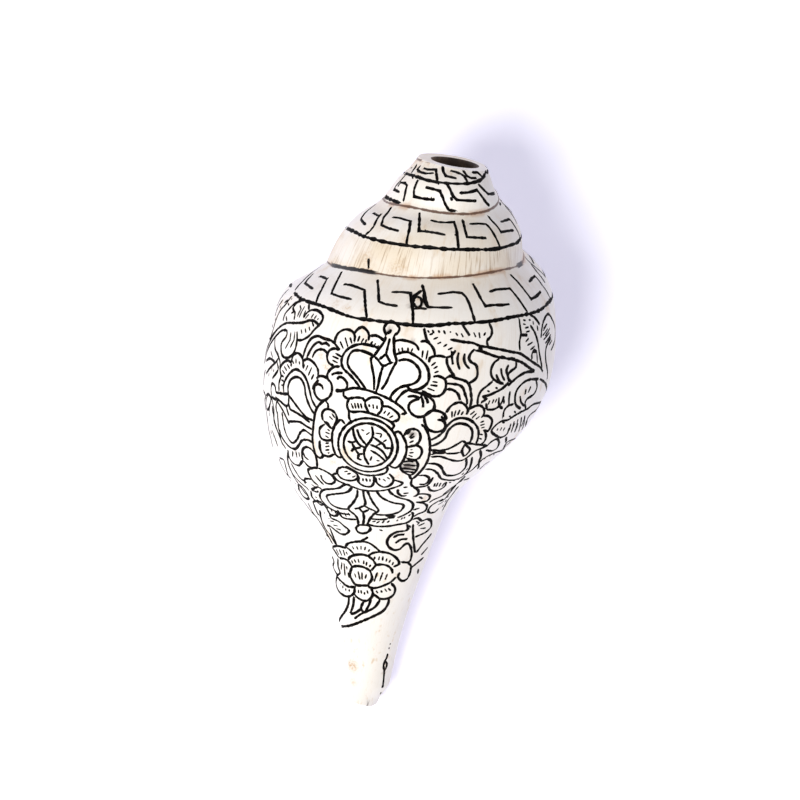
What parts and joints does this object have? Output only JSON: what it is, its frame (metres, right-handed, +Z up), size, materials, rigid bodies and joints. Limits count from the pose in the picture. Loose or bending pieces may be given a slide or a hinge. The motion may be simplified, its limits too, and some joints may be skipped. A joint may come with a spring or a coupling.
{
  "type": "sacred chank shell",
  "caption": "Carved chank shell made into a conch horn, with a spiral hollow that runs from the cut apex to the mouth.",
  "frame": {"origin": "centre of the shell's bounding box on the table plane", "axes": "+Z up from the table, +Y towards the cut apex, +X to the right with the carved side up"},
  "size_m": [0.086, 0.169, 0.0768],
  "materials": {
    "shell": "polished natural shell, carved, with dark stain in the carving"
  },
  "bodies": {
    "root": {"shell": "shell"}
  },
  "joints": []
}
